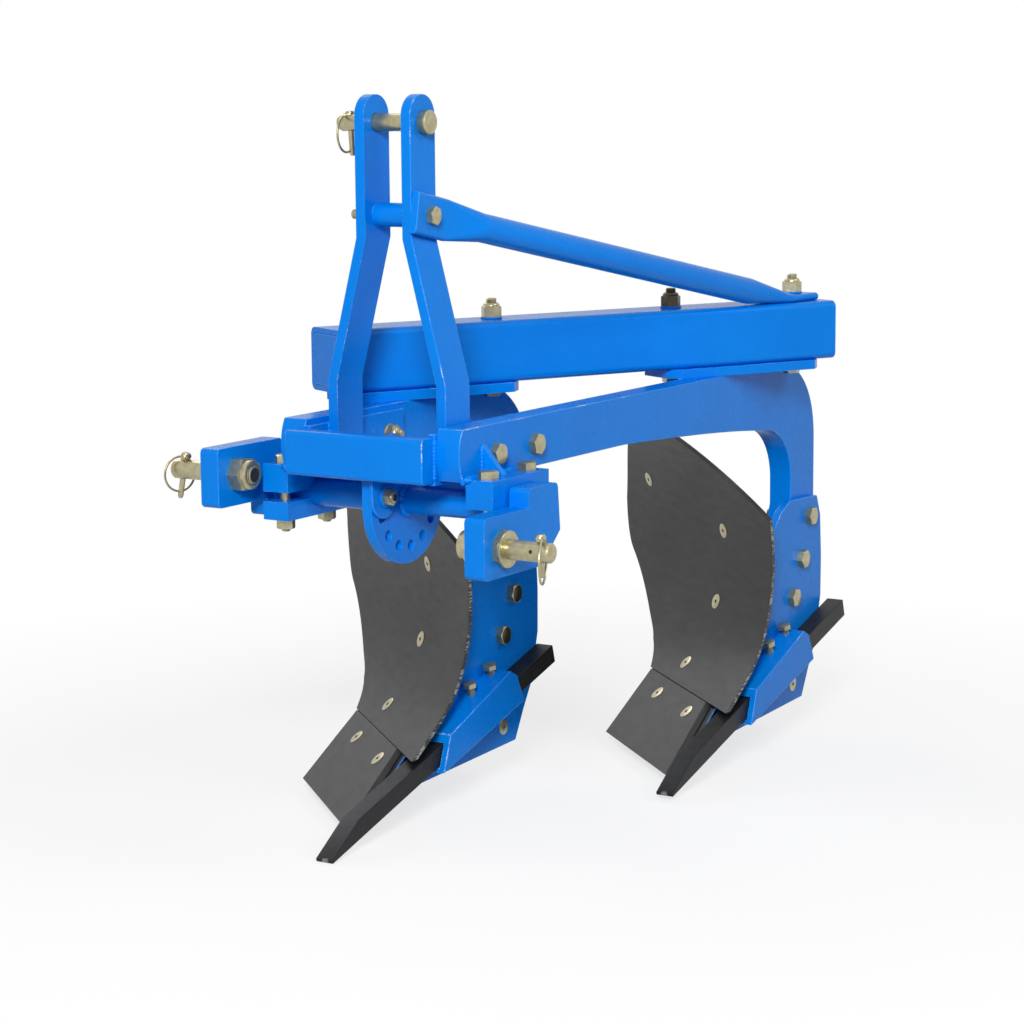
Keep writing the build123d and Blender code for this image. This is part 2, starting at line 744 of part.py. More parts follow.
# hood: a box welded to the cheek, in which the bar point is clamped
hood_rear = hood_front - hood_length
with BuildSketch() as hood_outline:
    with BuildLine():
        floor_drop = -(slide_gap + hood_floor)
        over_bar = bar_side + slide_gap + hood_top
        Polyline(
            (hood_front, bar_line(hood_front, floor_drop)),
            (hood_rear, bar_line(hood_rear, floor_drop)),
            (hood_rear + hood_rake, bar_line(hood_rear + hood_rake, bar_side + hood_top)),
            (hood_rear + 2 * hood_rake, bar_line(hood_rear + 2 * hood_rake, over_bar + hood_rise)),
            (hood_front - hood_rake, bar_line(hood_front - hood_rake, over_bar)),
            close=True,
        )
    make_face()
hood_outer = bar_left + slide_gap + hood_side
hood = slab(hood_outline.sketch, cheek_y, hood_outer)
with BuildSketch() as channel_outline:
    with BuildLine():
        Polyline(
            (hood_front + beyond, bar_line(hood_front + beyond, -slide_gap)),
            (hood_rear - beyond, bar_line(hood_rear - beyond, -slide_gap)),
            (hood_rear - beyond, bar_line(hood_rear - beyond, bar_side + slide_gap)),
            (hood_front + beyond, bar_line(hood_front + beyond, bar_side + slide_gap)),
            close=True,
        )
    make_face()
hood -= slab(channel_outline.sketch, cheek_y, bar_left + slide_gap)

# stay: a flat bar from the leg's outer face up to a seat behind the mouldboard's tail
tail_run = run_at(stay_height) + twist_at(stay_height) * (stay_along - twist_centre)
tail = wing + edge_dir * stay_along + back_dir * tail_run + Vector(0, 0, stay_height)
stay_foot_y = -beam_outer - seat_gap
stay = block(
    stay_foot_x - stay_foot / 2,
    stay_foot_x + stay_foot / 2,
    stay_foot_y - stay_thick,
    stay_foot_y,
    stay_foot_z - stay_foot / 2,
    stay_foot_z + stay_foot / 2,
)
stay -= rod_y(leg_bolt_d, stay_foot_x, stay_foot_z, -beam_outer, stay_foot_y - stay_thick)
foot = Vector(stay_foot_x, stay_foot_y, stay_foot_z)
stay_run = tail - foot
stay_face = Plane(origin=foot, x_dir=stay_run.cross(Vector(0, 0, 1)), z_dir=stay_run)
stay_bar = extrude(stay_face * Rectangle(stay_thick, stay_width), stay_run.length + 2 * stay_thick)
stay_bar -= block(-beyond, beyond, stay_foot_y - stay_thick / 2, beyond, -beyond, beyond)
stay_seat = sheet(back_of_sheet, back_of_sheet + stay_thick)
with BuildSketch() as seat_outline:
    with Locations((stay_along, stay_height)):
        Rectangle(stay_foot, stay_foot)
keep_stay = sheet(-sheet_clear, back_of_sheet + stay_thick / 2)
stay = stay + (stay_bar - keep_stay) + (stay_seat & window(seat_outline.sketch))

bodies = (("front", Vector(0, 0, 0), 0.0), ("rear", body_step, rear_bar_back))
for name, step, back in bodies:
    place = Pos(step.X, step.Y, step.Z)
    parts["frog_" + name] = place * frog
    parts["bar_hood_" + name] = place * hood
    parts["share_" + name] = place * share
    parts["mouldboard_" + name] = place * mould
    parts["stay_" + name] = place * stay
    parts["bar_point_" + name] = place * Pos(*(bar_back * back)) * bar

# ================================================================ placing and writing
boxes = [piece.bounding_box() for piece in parts.values()]
low = Vector(min(b.min.X for b in boxes), min(b.min.Y for b in boxes), min(b.min.Z for b in boxes))
high = Vector(max(b.max.X for b in boxes), max(b.max.Y for b in boxes), max(b.max.Z for b in boxes))
origin = Vector((low.X + high.X) / 2, (low.Y + high.Y) / 2, low.Z)

os.makedirs("parts", exist_ok=True)
for node, piece in parts.items():
    export_step(Pos(*(-origin)) * piece, "parts/" + node + ".step")
print("origin", origin, "size", high - low)
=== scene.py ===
"""Looks of a two-furrow mounted mouldboard plough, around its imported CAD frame."""
import json
from math import cos, pi, radians, sin, tau

import bmesh
import bpy
from mathutils import Matrix, Vector, noise
from mathutils.bvhtree import BVHTree


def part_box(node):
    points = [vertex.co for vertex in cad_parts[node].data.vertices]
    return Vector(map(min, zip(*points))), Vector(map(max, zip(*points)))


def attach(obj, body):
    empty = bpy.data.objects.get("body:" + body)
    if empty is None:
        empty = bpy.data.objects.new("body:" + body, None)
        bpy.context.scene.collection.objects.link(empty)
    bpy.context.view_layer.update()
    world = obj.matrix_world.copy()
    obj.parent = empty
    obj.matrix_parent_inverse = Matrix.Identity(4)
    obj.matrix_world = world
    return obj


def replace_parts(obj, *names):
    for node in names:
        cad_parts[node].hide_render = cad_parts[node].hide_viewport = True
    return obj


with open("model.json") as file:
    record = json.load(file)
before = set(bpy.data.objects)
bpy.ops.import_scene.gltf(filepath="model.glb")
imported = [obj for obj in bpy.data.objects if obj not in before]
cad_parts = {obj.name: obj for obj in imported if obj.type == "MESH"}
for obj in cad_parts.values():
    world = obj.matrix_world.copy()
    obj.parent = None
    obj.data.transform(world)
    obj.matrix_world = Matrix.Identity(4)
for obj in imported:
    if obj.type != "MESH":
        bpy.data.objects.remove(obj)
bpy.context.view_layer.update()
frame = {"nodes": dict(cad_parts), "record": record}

MM = 0.001
X, Y, Z = Vector((1, 0, 0)), Vector((0, 1, 0)), Vector((0, 0, 1))
SIDES = ((1, "left"), (-1, "right"))
BODIES = ("front", "rear")

# ---------------------------------------------------------------- places
# Places are in millimetres from a datum: x from the front of the mast (forward), y from
# the middle of the headstock (left) and z from the ground. A place on a body is the
# front body's, and the rear body's lies a step away.
left_mast_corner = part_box("mast_left")[1]
right_mast_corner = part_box("mast_right")[0]
DATUM = Vector((left_mast_corner.x, (left_mast_corner.y + right_mast_corner.y) / 2, 0))


def at(x, y, z):
    """A place in the row frame, in metres, from the datum's millimetres."""
    return DATUM + Vector((x, y, z)) * MM


def body_step():
    """The step from the front body to the rear one, in millimetres."""
    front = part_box("mouldboard_front")[0]
    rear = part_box("mouldboard_rear")[0]
    return (rear - front) / MM


def height_of(node, top=True):
    """The height of a node's top or bottom, in millimetres."""
    low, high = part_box(node)
    return (high.z if top else low.z) / MM


STEP = {"front": Vector((0, 0, 0)), "rear": body_step()}

# the headstock
BEAM_FACE = 152                  # outer face of a beam, to either side
BEAM_WELD = 152.6                # line of the weld beads on that face
PLATE_INNER = 100                # inner face of a side plate, to either side
BEAM_BOLTS = ((-48, 601), (-152, 603))   # x and z
CLAMP_TOP = 574.0                # top face of the shaft's clamps
CLAMP_BOLTS_X = (8, -94)
CLAMP_BOLTS_Y = 174.3
SHAFT_X, SHAFT_Z = -43, 526      # axis of the cross shaft
CRANK_INNER = {"left": 200, "right": 216}   # inner face of a crank, from the middle
CRANK_THICK = 32
LINK_PIN_X = 67
LINK_PIN_Z = {"left": 490, "right": 562}
MAST_X = -31.5                   # axis of the mast's bolt and pin
TOP_PIN_Z = 1061
SPACER_Z = 932
LOCK_X, LOCK_Z = 23.75, 539

# the tube and its pads
PAD_MIDDLE = Vector((-295, -132, 0))
PAD_BOLT_REACH = 121             # from a pad's middle to either bolt
TAB_TOP = 766.3                  # top face of the brace's rear tab

# the bodies
EDGE_ANGLE = radians(47.75)      # cutting edge to the direction of travel
EDGE = Vector((cos(EDGE_ANGLE), sin(EDGE_ANGLE), 0))
BACK = Vector((-EDGE.y, EDGE.x, 0))
WING = Vector((-263, -354, 19))  # outer end of the cutting edge
BOARD_BOLTS = ((26, 117), (15, 217), (13, 338), (-258, 391))   # along and above the edge
SHARE_BOLTS = ((33, 69), (179, 69))
CHEEK_FACE = -98                 # y of the frog's cheek, on the left
CHEEK_BOLT = (-461, 92)          # x and z of the flush bolt in the cheek's heel
LEG_BOLTS = ((-520, 376, -152.3), (-490, 306, -162.6), (-456, 244, -152.3))   # x, z, nut's y
NOSE_LINE = -206                 # forward of this the frog is near-black, as painted shade
HOOD_FRONT = -246
HOOD_WELD = 150                  # length of the bead along the hood's top
BAR_SLOPE = radians(16.1)
BAR_AHEAD = Vector((cos(BAR_SLOPE), 0, -sin(BAR_SLOPE)))
BAR_UP = Vector((sin(BAR_SLOPE), 0, cos(BAR_SLOPE)))
SET_SCREWS = ((-349, 160), (-408, 178))   # x and z on the hood's top
SET_SCREW_Y = -85
MARKS, FIRST_MARK, MARK_PITCH = 3, 28, 24   # dimples in the bar, from its rear end
BEYOND = 400                     # clear of every surface, where rays start


# ---------------------------------------------------------------- materials
class Shade:
    """A node material with a Principled shader, and short ways to add to it."""

    def __init__(self, name):
        self.mat = bpy.data.materials.new(name)
        self.mat.use_nodes = True
        self.tree = self.mat.node_tree
        self.shader = self.tree.nodes["Principled BSDF"]
        self.place = self.node("ShaderNodeTexCoord").outputs["Object"]

    def node(self, kind, **settings):
        """A new node, with inputs or properties set by name."""
        made = self.tree.nodes.new(kind)
        for key, value in settings.items():
            if key in made.inputs:
                made.inputs[key].default_value = value
            else:
                setattr(made, key, value)
        return made

    def link(self, out, to):
        """Joins an output to an input."""
        self.tree.links.new(out, to)

    def set(self, **values):
        """Sets inputs of the shader, with _ for each space in a name."""
        for key, value in values.items():
            self.shader.inputs[key.replace("_", " ")].default_value = value

    def noise(self, scale, detail=4.0, stretch=None):
        """Noise of so many spots a metre, closer together along a stretched axis."""
        made = self.node("ShaderNodeTexNoise", Scale=scale, Detail=detail)
        source = self.place
        if stretch:
            mapping = self.node("ShaderNodeMapping")
            mapping.inputs["Scale"].default_value = stretch
            self.link(source, mapping.inputs["Vector"])
            source = mapping.outputs["Vector"]
        self.link(source, made.inputs["Vector"])
        return made.outputs["Fac"]

    def ramp(self, source, *stops):
        """A colour ramp over a value: stops are (place, colour)."""
        made = self.node("ShaderNodeValToRGB")
        band = made.color_ramp
        while len(band.elements) < len(stops):
            band.elements.new(0.5)
        for element, (place, colour) in zip(band.elements, stops):
            element.position = place
            element.color = (*colour, 1)
        self.link(source, made.inputs["Fac"])
        return made.outputs["Color"]

    def remap(self, source, **limits):
        """A value from one range laid on another, and kept inside it."""
        made = self.node("ShaderNodeMapRange")
        for key, value in limits.items():
            made.inputs[key.replace("_", " ")].default_value = value
        self.link(source, made.inputs["Value"])
        return made.outputs["Result"]

    def spread(self, source, low, high):
        """0 to 1 laid on low to high."""
        return self.remap(source, To_Min=low, To_Max=high)

    def between(self, source, low, high):
        """0 below low and 1 above high, or the other way round where low is the larger."""
        return self.remap(source, From_Min=low, From_Max=high)

    def math(self, operation, first, second):
        """A Math node over two values, each a socket or a number."""
        made = self.node("ShaderNodeMath", operation=operation)
        for value, socket in zip((first, second), made.inputs):
            if isinstance(value, (int, float)):
                socket.default_value = value
            else:
                self.link(value, socket)
        return made.outputs["Value"]

    def mean(self, first, second):
        """Half of two values' sum."""
        return self.math("MULTIPLY", self.math("ADD", first, second), 0.5)

    def ragged(self, value, scale, reach):
        """A value that noise shifts by up to so much."""
        return self.math("ADD", value, self.math("MULTIPLY", self.noise(scale, 4), reach))

    def split(self, vector, axis):
        """One axis of a vector."""
        made = self.node("ShaderNodeSeparateXYZ")
        self.link(vector, made.inputs["Vector"])
        return made.outputs[axis]

    def distance(self, vector, place):
        """How far a vector is from a fixed place."""
        made = self.node("ShaderNodeVectorMath", operation="DISTANCE")
        self.link(vector, made.inputs[0])
        made.inputs[1].default_value = place
        return made.outputs["Value"]

    def mix_colour(self, mask, colour):
        """Lays a colour over what the base colour has so far."""
        made = self.node("ShaderNodeMixRGB")
        so_far = self.shader.inputs["Base Color"].links[0].from_socket
        self.link(mask, made.inputs["Fac"])
        self.link(so_far, made.inputs["Color1"])
        made.inputs["Color2"].default_value = (*colour, 1)
        self.colour(made.outputs["Color"])

    def bump(self, source, strength, distance):
        """Adds a bump to the ones there are, with its depth in metres."""
        made = self.node("ShaderNodeBump", Strength=strength, Distance=distance)
        normal = self.shader.inputs["Normal"]
        self.link(source, made.inputs["Height"])
        if normal.links:
            self.link(normal.links[0].from_socket, made.inputs["Normal"])
        self.link(made.outputs["Normal"], normal)

    def colour(self, socket):
        """Takes the base colour from a socket."""
        self.link(socket, self.shader.inputs["Base Color"])

    def rough(self, socket):
        """Takes the roughness from a socket."""
        self.link(socket, self.shader.inputs["Roughness"])


def grey(value):
    """A grey of one value."""
    return (value, value, value)


def blue_paint(name="blue_paint"):
    """Bright enamel: nearly even, with a fine orange peel."""
    s = Shade(name)
    deep, bright = (0.0, 0.200, 0.74), (0.0, 0.218, 0.79)
    s.colour(s.ramp(s.noise(7, 3), (0.3, deep), (0.7, bright)))
    s.rough(s.spread(s.noise(45, 3), 0.22, 0.34))
    s.set(Specular_IOR_Level=0.14)
    s.bump(s.noise(260, 2), 0.10, 0.0006)
    s.bump(s.noise(24, 2), 0.10, 0.0014)
    return s


def highlit_worn_blue():
    """The paint along sharp edges: a paler blue as painted highlight, with small pale specks
    that are partly bare chips and partly painted glints.
    """
    s = Shade("blue_edge")
    chips_and_glints = s.mean(s.noise(520, 2), s.noise(16, 3))
    # a brighter blue as painted edge highlight, then pale specks: bare chips and painted glints
    blue, chip_and_glint_pale = (0.004, 0.24, 0.88), (0.50, 0.58, 0.70)
    s.colour(s.ramp(chips_and_glints, (0.575, blue), (0.61, chip_and_glint_pale)))
    s.set(Roughness=0.3, Specular_IOR_Level=0.3)
    return s.mat


def frog_paint(which):
    """The frog's paint, near-black at its nose behind the share's joint: painted shade in the
    gap there.
    """
    s = blue_paint("frog_paint_" + which)
    nose = at(*(Vector((NOSE_LINE, 0, 0)) + STEP[which])).x
    # near-black painted shade on the frog's nose
    nose_painted_shade = (0.008, 0.009, 0.011)
    ragged = s.ragged(s.split(s.place, "X"), 40, 0.02)
    s.mix_colour(s.between(ragged, nose + 0.008, nose + 0.013), nose_painted_shade)
    return s.mat


def board_steel(name="board_steel"):
    """Dark satin coat of the mouldboards and shares, with faint rolling streaks."""
    s = Shade(name)
    streaks = s.mean(s.noise(16, 5, stretch=(1, 1, 5)), s.noise(3, 2))
    dark, pale = grey(0.024), (0.037, 0.038, 0.037)
    s.colour(s.ramp(streaks, (0.35, dark), (0.65, pale)))
    s.rough(s.spread(s.noise(30, 5, stretch=(1, 1, 3)), 0.42, 0.56))
    s.set(Specular_IOR_Level=0.30)
    s.bump(s.noise(420, 3), 0.12, 0.0004)
    s.bump(s.noise(9, 2), 0.10, 0.004)
    return s


def flame_cut():
    """The mouldboard's shin edge: rough, with pale ticks left by the flame."""
    s = Shade("flame_cut")
    ticks = s.mean(s.noise(420, 1, stretch=(0.15, 0.15, 1)), s.noise(60, 2))
    dark, pale = (0.022, 0.023, 0.026), (0.34, 0.34, 0.31)
    s.colour(s.ramp(ticks, (0.50, dark), (0.57, pale)))
    s.set(Roughness=0.6)
    s.bump(ticks, 0.8, 0.0015)
    return s.mat


def worn_steel(name, base, tip, reach):
    """A dark steel rubbed pale within a reach of its working tip, in metres."""
    s = base(name)
    rubbed = (0.23, 0.22, 0.20)
    ragged = s.ragged(s.distance(s.place, tip), 70, reach)
    s.mix_colour(s.between(ragged, reach * 1.4, reach), rubbed)
    return s.mat


def bar_steel(name="bar_steel"):
    """Black forged bar points, with a scaly skin."""
    s = Shade(name)
    scale = s.noise(55, 6)
    dark, pale = (0.006, 0.007, 0.009), (0.016, 0.016, 0.018)
    s.colour(s.ramp(scale, (0.35, dark), (0.65, pale)))
    s.rough(s.spread(scale, 0.34, 0.58))
    s.set(Specular_IOR_Level=0.22)
    s.bump(s.noise(140, 5), 0.35, 0.0008)
    return s


def zinc_plate(name="zinc_plate", shade=1.0):
    """Yellow zinc plating of bolts and pins, its colour scaled by a factor; the darkened copy
    is a dark nut and painted shade.
    """
    s = Shade(name)
    dark = tuple(c * shade for c in (0.38, 0.34, 0.20))
    pale = tuple(c * shade for c in (0.47, 0.43, 0.28))
    s.colour(s.ramp(s.noise(110, 2), (0.35, dark), (0.65, pale)))
    s.rough(s.spread(s.noise(200, 2), 0.26, 0.36))
    s.set(Metallic=0.8)
    s.bump(s.noise(200, 2), 0.02, 0.0002)
    return s.mat


def painted_hollow_shade():
    """Painted shade for the inside of a socket, a hole or a dimple: near-black, with a little
    grain.
    """
    s = Shade("socket_painted_shade")
    grain, dark = s.noise(400, 2), 0.012
    s.colour(s.ramp(grain, (0.2, grey(dark * 0.8)), (0.8, grey(dark))))
    s.set(Roughness=0.7)
    s.bump(grain, 0.1, 0.0003)
    return s.mat


BLUE = blue_paint().mat
BLUE_EDGE = highlit_worn_blue()
BOARD = board_steel().mat
FLAME_CUT = flame_cut()
ZINC = zinc_plate()
# zinc at a sixth of its brightness: a dark nut, and painted shade on some bolt faces and a
# bolt's end
ZINC_SHADE_AND_DARK_NUT = zinc_plate("zinc_shade_and_dark_nut", 0.16)
HOLLOW_SHADE_PAINT = painted_hollow_shade()
METALS = [ZINC, ZINC_SHADE_AND_DARK_NUT, BLUE, HOLLOW_SHADE_PAINT]
PALE, SHADE_AND_DARK_NUT, PAINTED, HOLLOW_SHADE = range(4)     # places in METALS

# ---------------------------------------------------------------- carried-over solids
# the width of the round along a slot's edges, in millimetres; on blue parts it takes the edge
# paint, worn and with painted highlight
EDGES = {"blue_paint": 1.5, "mouldboard_steel": 0.7, "point_steel": 1.2, "zinc": 0.9}
PLAIN_FINISH = {
    "blue_paint": (BLUE, BLUE_EDGE),
    "mouldboard_steel": (BOARD, BOARD),
    "zinc": (ZINC, ZINC),
}
BAR_WEAR, SHARE_WEAR = 0.009, 0.010      # reach of the rubbed steel at a tip, in metres
CUT_SIDE = 0.85                  # a face this square to Y is the flame-cut shin
FACE_SLOT, EDGE_SLOT, CUT_SLOT = range(3)
SAME_PLACE = 1e-5                # vertices this close are one, in metres
FLAT_ANGLE = radians(0.4)        # facets of one flat face
SHARP_ANGLE = radians(30)        # an edge this sharp is rounded


def finish_of(name, slot):
    """The material of a node's faces, and the one along its edges."""
    which = name.rsplit("_", 1)[-1]
    if name.startswith("frog"):
        return frog_paint(which), BLUE_EDGE
    if name.startswith("bar_point"):
        low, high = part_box(name)
        tip = (high.x, (low.y + high.y) / 2, low.z)
        worn = worn_steel("bar_steel_" + which, bar_steel, tip, BAR_WEAR)
        return worn, worn
    if name.startswith("share"):
        low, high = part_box(name)
        tip = (high.x, high.y, low.z)
        worn = worn_steel("share_steel_" + which, board_steel, tip, SHARE_WEAR)
        return worn, worn
    return PLAIN_FINISH[slot]


def soften(node, slot):
    """Modifiers that merge a node's facets and round its sharp edges."""
    weld = node.modifiers.new("weld", "WELD")
    weld.merge_threshold = SAME_PLACE
    if slot != "mouldboard_steel":
        flat = node.modifiers.new("flat", "DECIMATE")
        flat.decimate_type = "DISSOLVE"
        flat.angle_limit = FLAT_ANGLE
    edges = node.modifiers.new("edges", "BEVEL")
    edges.width = EDGES[slot] * MM
    edges.segments = 2
    edges.limit_method = "ANGLE"
    edges.angle_limit = SHARP_ANGLE
    edges.use_clamp_overlap = True
    edges.material = EDGE_SLOT
    node.modifiers.new("shading", "WEIGHTED_NORMAL")


def finish_solids():
    """Gives each CAD node its materials and modifiers."""
    slots = {part["node"]: part["material_slot"] for part in frame["record"]["subparts"]}
    for name, node in frame["nodes"].items():
        slot = slots[name]
        mesh = node.data
        mesh.materials.clear()
        for material in finish_of(name, slot):
            mesh.materials.append(material)
        for face in mesh.polygons:
            face.use_smooth = True
            face.material_index = FACE_SLOT
        if name.startswith("mouldboard"):
            mesh.materials.append(FLAME_CUT)
            for face in mesh.polygons:
                if face.normal.y > CUT_SIDE:
                    face.material_index = CUT_SLOT
        soften(node, slot)


# ---------------------------------------------------------------- mesh building
def turned(count, offset=0.0):
    """The angles of so many even steps round a circle."""
    return [tau * (i + offset) / count for i in range(count)]


def polar(radius, angle, height):
    """A point about the Z axis, in metres, from millimetres."""
    return (radius * MM * cos(angle), radius * MM * sin(angle), height * MM)


def circle(centre, first, second, radius, count):
    """Points round a circle in the plane of two directions."""
    return [Vector(centre) + (first * cos(a) + second * sin(a)) * radius for a in turned(count)]


def resampled(points, pitch):
    """A line of points again, as evenly spaced ones."""
    line = [points[0]]
    for start, stop in zip(points, points[1:]):
        steps = max(1, round((stop - start).length / pitch))
        line += [start.lerp(stop, (i + 1) / steps) for i in range(steps)]
    return line


def facing(place, direction, spin=0.0):
    """A matrix at a place (datum millimetres) whose Z points along a direction."""
    turn = Vector(direction).to_track_quat("Z", "Y").to_matrix().to_4x4()
    return Matrix.Translation(at(*place)) @ turn @ Matrix.Rotation(spin, 4, "Z")


class Piece:
    """A mesh that is gathered in the row frame and then rides on a body."""

    SMOOTH_ANGLE = radians(35)   # a sharper edge is shaded as one
    HEXAGON_STEPS = 36           # a multiple of 6, so that each corner is a vertex
    FACE_WIDTH = 0.95            # a head's round end face, as a part of its flats' width
    CHAMFER = 0.5                # drop of the turned chamfer for each step outward
    WIRE_STEPS = 8

    def __init__(self, name, materials, slot, body="frame"):
        self.name, self.materials, self.slot, self.body = name, materials, slot, body
        self.bm = bmesh.new()

    def ring(self, m, points):
        """Vertices at points that a matrix carries over."""
        return [self.bm.verts.new(m @ Vector(p)) for p in points]

    def bridge(self, low, high, material=0):
        """Quads between two rings of as many points."""
        count = len(low)
        for i in range(count):
            j = (i + 1) % count
            face = self.bm.faces.new((low[i], low[j], high[j], high[i]))
            face.material_index = material
            face.smooth = True

    def cap(self, ring, material=0):
        """A flat face over a ring."""
        self.bm.faces.new(ring).material_index = material

    def cap_both(self, low, high, material=0):
        """Flat faces over a body's two end rings."""
        self.cap(low[::-1], material)
        self.cap(high, material)

    def lathe(self, m, profile, segments, material=0):
        """Turns a profile of (radius, height) in millimetres about the matrix's Z."""
        turn = turned(segments)
        rings = []
        for radius, height in profile:
            rings.append(self.ring(m, [polar(radius, a, height) for a in turn]))
        for low, high in zip(rings, rings[1:]):
            self.bridge(low, high, material)
        self.cap_both(rings[0], rings[-1], material)

    def hexagon(self, m, across, low, high, material=0, face=None):
        """A hexagon across its flats, with a real head's turned chamfer at its high end."""
        turn = turned(self.HEXAGON_STEPS)
        face_radius = self.FACE_WIDTH / 2 * across

        def radius(a):
            return across / 2 / cos((a + pi / 6) % (pi / 3) - pi / 6)

        def drop(a):
            return max(0.0, radius(a) - face_radius) * self.CHAMFER

        foot = self.ring(m, [polar(radius(a), a, low) for a in turn])
        shoulder = self.ring(m, [polar(radius(a), a, high - drop(a)) for a in turn])
        top = self.ring(m, [polar(face_radius, a, high) for a in turn])
        self.bridge(foot, shoulder, material)
        self.bridge(shoulder, top, material)
        self.cap(top, material if face is None else face)
        self.cap(foot[::-1], material)

    def thread(self, m, diameter, low, high, material=0):
        """A threaded stub: crests and roots at the pitch, with a chamfered end."""
        pitch, depth, chamfer = 2.0, 0.9, 1.5
        crest = diameter / 2
        profile = [(crest, low)]
        height = low
        while height + pitch < high - chamfer:
            for part, radius in ((0.2, crest), (0.5, crest - depth), (0.8, crest)):
                profile.append((radius, height + part * pitch))
            height += pitch
        profile += [(crest, high - chamfer), (crest - chamfer, high)]
        self.lathe(m, profile, 24, material)

    def block(self, low, high):
        """A box between two corners (datum millimetres)."""
        a, b = at(*low), at(*high)
        base = [(a.x, a.y), (b.x, a.y), (b.x, b.y), (a.x, b.y)]
        foot, top = [[self.bm.verts.new((x, y, z)) for x, y in base] for z in (a.z, b.z)]
        self.bridge(foot, top)
        self.cap_both(foot, top)

    def wire(self, points, radii, closed=False):
        """A round bar along points (datum millimetres), with a radius for each point."""
        places = [at(*p) for p in points]
        count = len(places)
        turn = turned(self.WIRE_STEPS)
        rings, side = [], None
        for i, place in enumerate(places):
            before = places[i - 1] if i or closed else place
            after = places[(i + 1) % count] if i + 1 < count or closed else place
            run = (after - before).normalized()
            side = run.orthogonal() if side is None else side
            side = (side - run * side.dot(run)).normalized()
            other = run.cross(side)
            reach = radii[i] * MM
            spots = [place + (side * cos(a) + other * sin(a)) * reach for a in turn]
            rings.append([self.bm.verts.new(spot) for spot in spots])
        for low, high in zip(rings, rings[1:]):
            self.bridge(low, high)
        if closed:
            self.bridge(rings[-1], rings[0])
        else:
            self.cap_both(rings[0], rings[-1])

    def bead(self, points, radius):
        """A weld bead along a line of points, with ripples, uneven width and thin ends."""
        spacing, ripple, ripple_pitch = 1.4, 0.13, 5.2
        waver, waver_scale = 0.25, 0.09
        end_width, widening = 0.45, 0.2
        line = resampled([Vector(p) for p in points], spacing)
        radii = []
        for i, spot in enumerate(line):
            wave = 1 + ripple * sin(i * spacing * tau / ripple_pitch)
            wave += waver * noise.noise(spot * waver_scale)
            end = min(1.0, end_width + widening * min(i, len(line) - 1 - i))
            radii.append(radius * wave * end)
        self.wire(line, radii)

    def done(self):
        """Makes the object, and lets it ride on its body."""
        mesh = bpy.data.meshes.new(self.name)
        bmesh.ops.recalc_face_normals(self.bm, faces=self.bm.faces)
        self.bm.to_mesh(mesh)
        self.bm.free()
        for material in self.materials:
            mesh.materials.append(material)
        mesh.set_sharp_from_angle(angle=self.SMOOTH_ANGLE)
        made = bpy.data.objects.new(self.name, mesh)
        bpy.context.scene.collection.objects.link(made)
        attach(made, self.body)
        return made


# ---------------------------------------------------------------- fasteners
# a head or nut by the size of its bolt: across the flats, and its height
HEADS = {20: (28, 17), 18: (28, 11), 17: (26, 11.5), 16: (24, 10)}
WASHER = 3                       # thickness under a nut
# a nut's collar: radius by the nut's width across flats, and height above the hexagon
COLLAR = ((0.46, -0.5), (0.45, 2), (0.41, 4), (0.34, 5))


def zinc_piece(name):
    """A piece of plated fasteners, which may take any of METALS."""
    return Piece(name, METALS, "zinc")


def washer(piece, m, radius, thick, material=PALE, base=0.0):
    """A washer with chamfered rims."""
    rim = 0.6
    profile = [(radius - rim, base), (radius, base + rim), (radius, base + thick - rim)]
    piece.lathe(m, profile + [(radius - rim, base + thick)], 36, material)


def head(piece, m, size, face=PALE):
    """A hexagon head, whose end face may be darker than its flats."""
    across, height = HEADS[size]
    piece.hexagon(m, across, 0, height, face=face)


def nut(piece, m, size, stub=6, ring=PALE, cap=PALE):
    """A nut on its washer: a domed collar over the hexagon, then the end of its bolt."""
    across, height = HEADS[size]
    top = WASHER + height
    washer(piece, m, across * 0.60, WASHER, ring)
    piece.hexagon(m, across, WASHER, top, cap)
    piece.lathe(m, [(across * part, top + rise) for part, rise in COLLAR], 32, cap)
    piece.thread(m, size * 0.82, top + 4, top + 5 + stub, cap)


def countersunk(piece, m):
    """A plough bolt's flush head with its square socket."""
    radius, socket, rise, depth = 12.6, 5.6, 0.9, 2.5
    turn = turned(32, 0.5)

    def rim(height, inset=0.0):
        return piece.ring(m, [polar(radius - inset, a, height) for a in turn])

    def square(height):
        reach = [socket / 2 / max(abs(cos(a)), abs(sin(a))) for a in turn]
        return piece.ring(m, [polar(r, a, height) for r, a in zip(reach, turn)])

    rings = [rim(-0.6), rim(0.5), rim(rise, 1.2), square(rise), square(-depth)]
    # the crevice round the head and the socket's walls and floor are near-black painted shade
    for low, high, material in zip(rings, rings[1:], (HOLLOW_SHADE, PALE, PALE, HOLLOW_SHADE)):
        piece.bridge(low, high, material)
    piece.cap(rings[-1], HOLLOW_SHADE)
    piece.cap(rings[0][::-1])


def linch_pin(name, top, tip, centre, turn, radius):
    """A linch pin from its head's top to its tip, and its sprung ring, turned from X."""
    p = zinc_piece(name)
    run = Vector(tip) - Vector(top)
    length = run.length
    knob = [(3, -2), (6, -1.2), (6.6, 0), (6.6, 5), (5.6, 6.5), (4.2, 7)]
    p.lathe(facing(top, run), knob + [(4.2, length - 3), (2.5, length)], 20)
    boss = facing(Vector(top) + run * (4 / length), X)
    p.lathe(boss, [(3.5, -8), (4.8, -7), (4.8, 7), (3.5, 8)], 16)
    ahead = Vector((cos(turn), sin(turn), 0))
    steps, wire_radius = 44, 1.7
    p.wire(circle(centre, ahead, Z, radius, steps), [wire_radius] * steps, closed=True)
    p.done()


